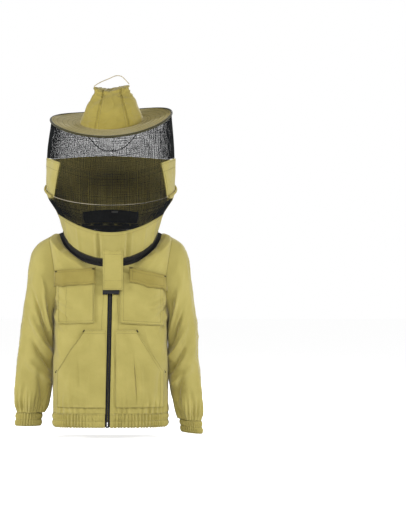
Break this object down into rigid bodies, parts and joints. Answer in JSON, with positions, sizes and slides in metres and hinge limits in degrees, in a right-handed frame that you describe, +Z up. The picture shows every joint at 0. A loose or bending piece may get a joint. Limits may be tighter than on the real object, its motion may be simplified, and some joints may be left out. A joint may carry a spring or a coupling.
{
  "type": "beekeeping jacket",
  "caption": "Khaki beekeeping jacket with front zip, pockets, elasticated hem and cuffs, and a zip-off round veil hat on a hooped net.",
  "frame": {"origin": "centre of the hem opening, at the wearer's waist, where the elastic hem grips the wearer who holds the jacket up", "axes": "+Z up the wearer's back, -Y the front, +X the wearer's left"},
  "size_m": [0.583, 0.403, 1.1134],
  "materials": {
    "khaki_cloth": "matt cotton twill",
    "black_fabric": "brushed hook-and-loop and lining tape",
    "zip_tape": "woven zip tape",
    "zip_plastic": "moulded plastic",
    "pull_metal": "plated pull",
    "net": "open knitted net",
    "hoop_casing": "cloth casing over spring wire",
    "binding": "bias tape",
    "loop_cord": "twisted cord",
    "elastic": "covered round elastic",
    "label": "blank woven label"
  },
  "bodies": {
    "jacket": {"back_panel": "khaki_cloth", "chest_pocket_left": "khaki_cloth", "chest_pocket_right": "khaki_cloth", "front_loop_left": "black_fabric", "front_loop_right": "black_fabric", "front_panel_left": "khaki_cloth", "front_panel_right": "khaki_cloth", "hand_pocket_left": "khaki_cloth", "hand_pocket_right": "khaki_cloth", "hem_band_back": "khaki_cloth", "hem_band_left": "khaki_cloth", "hem_band_right": "khaki_cloth", "neck_tape_lower_back": "zip_tape", "neck_tape_lower_left": "zip_tape", "neck_tape_lower_right": "zip_tape", "rear_loop_patch": "black_fabric", "zip_bottom_box": "zip_plastic", "zip_tape_left": "zip_tape", "zip_tape_right": "zip_tape", "zip_teeth_left": "zip_plastic", "zip_teeth_right": "zip_plastic"},
    "front_zip_slider": {"front_zip_slider": "zip_plastic"},
    "front_zip_pull": {"front_zip_pull": "pull_metal"},
    "neck_slider_left": {"neck_slider_left": "zip_plastic"},
    "neck_slider_right": {"neck_slider_right": "zip_plastic"},
    "front_tab": {"front_tab": "khaki_cloth", "front_tab_hook": "black_fabric"},
    "rear_tab": {"rear_tab": "khaki_cloth", "rear_tab_hook": "black_fabric"},
    "chest_flap_left": {"chest_flap_left": "khaki_cloth"},
    "chest_flap_right": {"chest_flap_right": "khaki_cloth"},
    "sleeve_left": {"sleeve_left": "khaki_cloth", "cuff_left": "khaki_cloth"},
    "sleeve_right": {"sleeve_right": "khaki_cloth", "cuff_right": "khaki_cloth"},
    "veil": {"veil_net_upper": "net", "veil_net_front": "net", "veil_lower_front": "khaki_cloth", "veil_back": "khaki_cloth", "veil_hoop": "hoop_casing", "hat_brim": "khaki_cloth", "brim_binding": "binding", "hat_crown": "khaki_cloth", "hat_sweatband": "black_fabric", "chin_elastic": "elastic", "hanging_loop": "loop_cord", "back_neck_facing": "black_fabric", "size_label": "label", "neck_tape_upper_left": "zip_tape", "neck_tape_upper_right": "zip_tape", "neck_tape_upper_back": "zip_tape"}
  },
  "joints": [
    {"name": "front_zip_travel", "type": "slide", "parent": "jacket", "child": "front_zip_slider", "axis": [0.02, 0, 0.9998], "range_m": [-0.435, 0]},
    {"name": "front_pull_swing", "type": "hinge", "parent": "front_zip_slider", "child": "front_zip_pull", "pos_m": [-0.00081, -0.1282, 0.4525], "axis": [0, 1, 0], "range_deg": [0, 52]},
    {"name": "neck_zip_travel_left", "type": "hinge", "parent": "jacket", "child": "neck_slider_left", "pos_m": [0, 0, 0.6], "axis": [0, -0.682, 0.7314], "range_deg": [0, 76]},
    {"name": "neck_zip_travel_right", "type": "hinge", "parent": "jacket", "child": "neck_slider_right", "pos_m": [0, 0, 0.6], "axis": [0, -0.682, 0.7314], "range_deg": [-76, 0]},
    {"name": "veil_lift", "type": "slide", "parent": "jacket", "child": "veil", "axis": [0, 0, 1], "range_m": [0, 0.25]},
    {"name": "front_tab_lift", "type": "hinge", "parent": "veil", "child": "front_tab", "pos_m": [0, -0.139, 0.541], "axis": [-1, 0, 0], "range_deg": [0, 110]},
    {"name": "rear_tab_lift", "type": "hinge", "parent": "veil", "child": "rear_tab", "pos_m": [0, 0.155, 0.688], "axis": [1, 0, 0], "range_deg": [0, 100]},
    {"name": "chest_flap_left_lift", "type": "hinge", "parent": "jacket", "child": "chest_flap_left", "pos_m": [0.11361, -0.10686, 0.48151], "axis": [-0.9491, -0.176, 0.2614], "range_deg": [0, 100]},
    {"name": "chest_flap_right_lift", "type": "hinge", "parent": "jacket", "child": "chest_flap_right", "pos_m": [-0.10817, -0.10898, 0.48631], "axis": [-0.9761, 0.1929, -0.1006], "range_deg": [0, 100]},
    {"name": "sleeve_left_raise", "type": "hinge", "parent": "jacket", "child": "sleeve_left", "pos_m": [0.19, 0, 0.579], "axis": [0, -1, 0], "range_deg": [0, 80]},
    {"name": "sleeve_right_raise", "type": "hinge", "parent": "jacket", "child": "sleeve_right", "pos_m": [-0.19, 0, 0.579], "axis": [0, 1, 0], "range_deg": [0, 80]}
  ]
}
